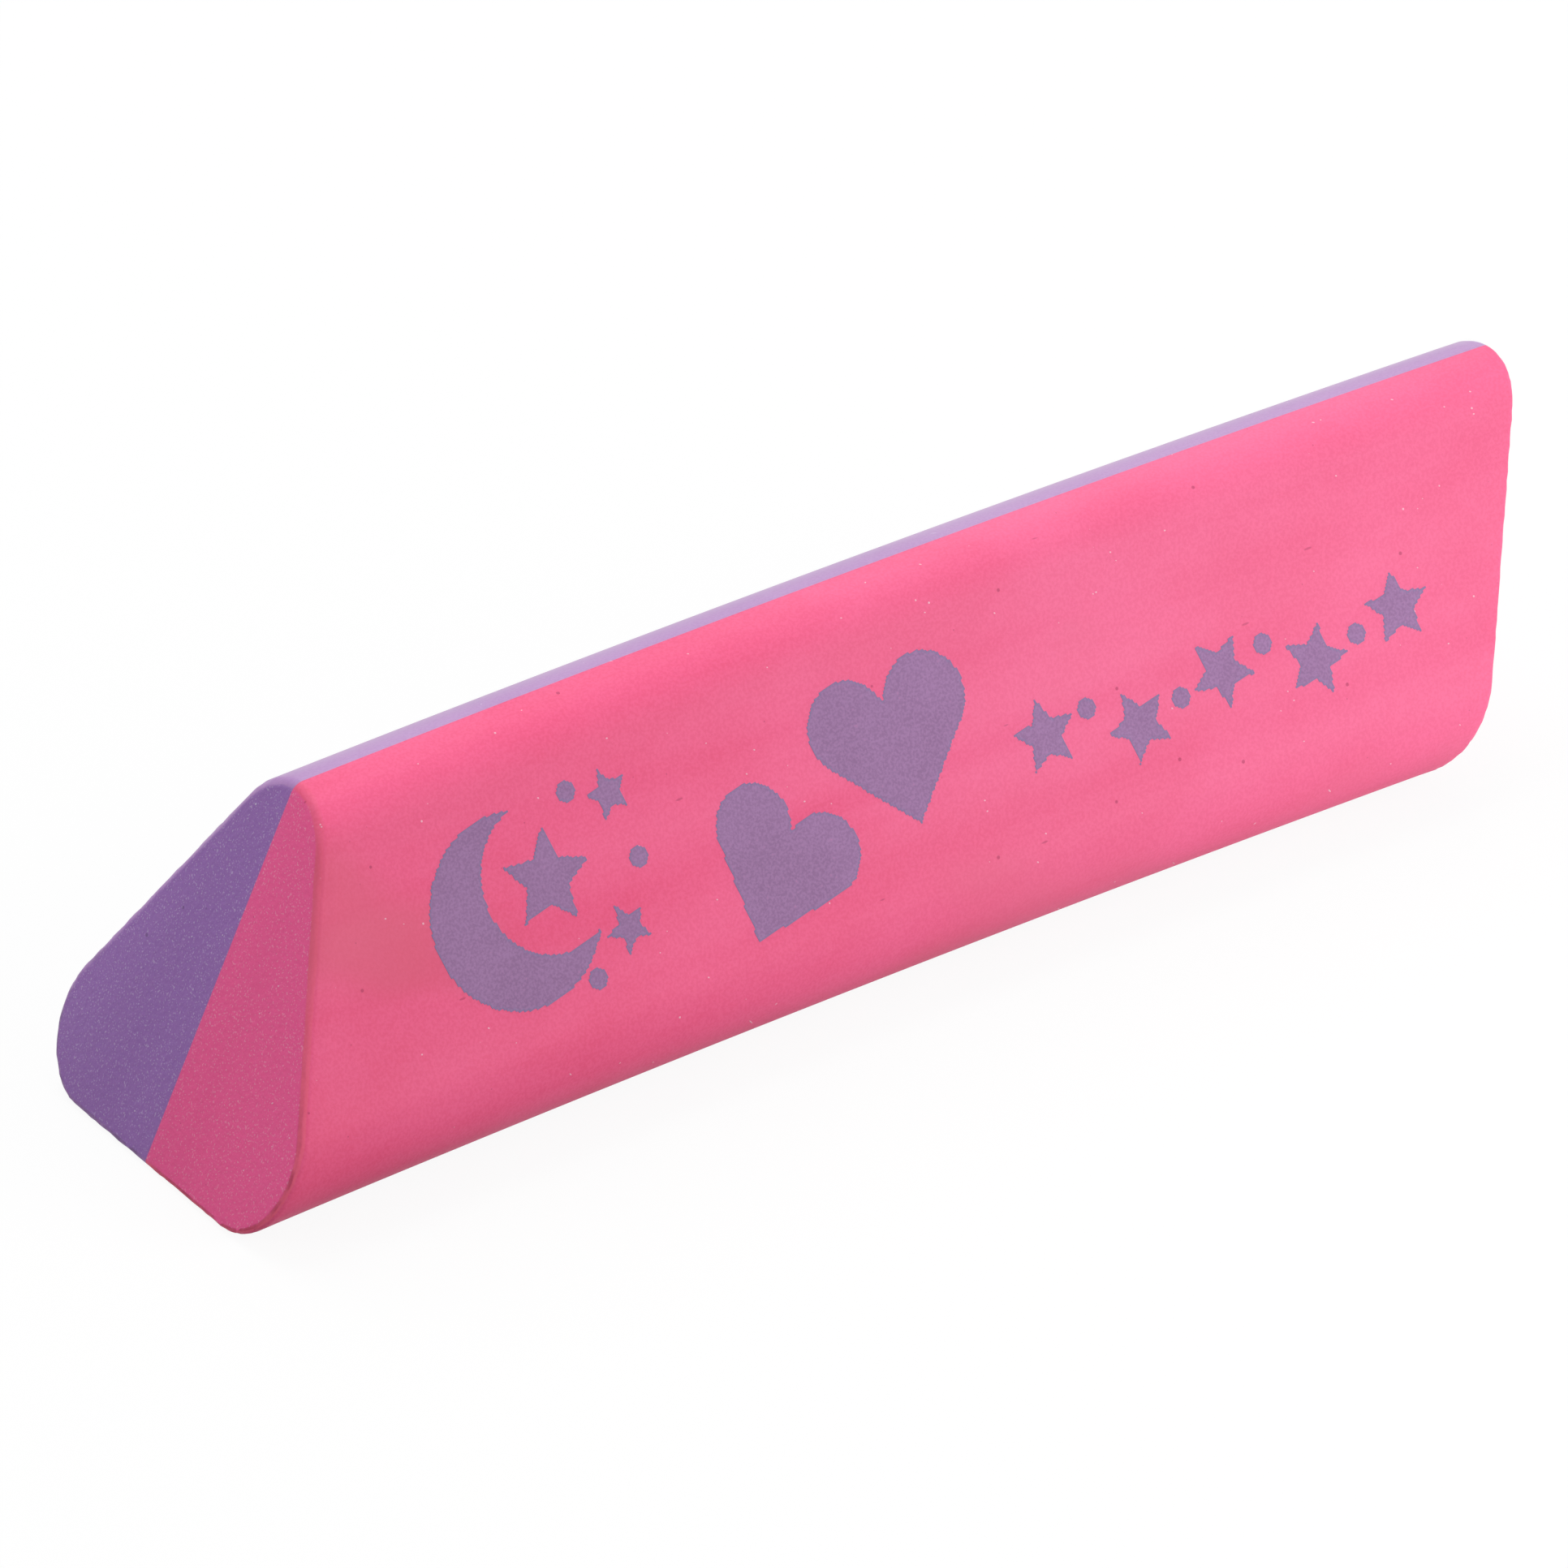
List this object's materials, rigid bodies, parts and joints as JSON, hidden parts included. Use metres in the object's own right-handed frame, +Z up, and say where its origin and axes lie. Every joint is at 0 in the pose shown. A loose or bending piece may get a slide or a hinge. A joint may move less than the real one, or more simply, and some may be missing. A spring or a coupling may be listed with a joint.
{
  "type": "three-sided vinyl eraser",
  "caption": "Three-sided vinyl eraser bar in pink and purple, with large rounded long edges, slanted cut ends and an ink print of hearts, a moon and stars on the pink face.",
  "frame": {"origin": "centre of the plain base, below the middle of the bar's bounding box", "axes": "+X along the bar, the way the ridge leans at both end cuts; +Y from the printed pink side to the plain purple side; +Z up from the base to the ridge"},
  "size_m": [0.079, 0.0201, 0.0178],
  "materials": {
    "pink_vinyl": "satin matte, soft plasticised vinyl",
    "purple_vinyl": "satin matte, soft plasticised vinyl",
    "ink": "thin screen-printed ink, matte"
  },
  "bodies": {
    "root": {"pink_half": "pink_vinyl", "purple_half": "purple_vinyl", "printed_motifs": "ink"}
  },
  "joints": []
}
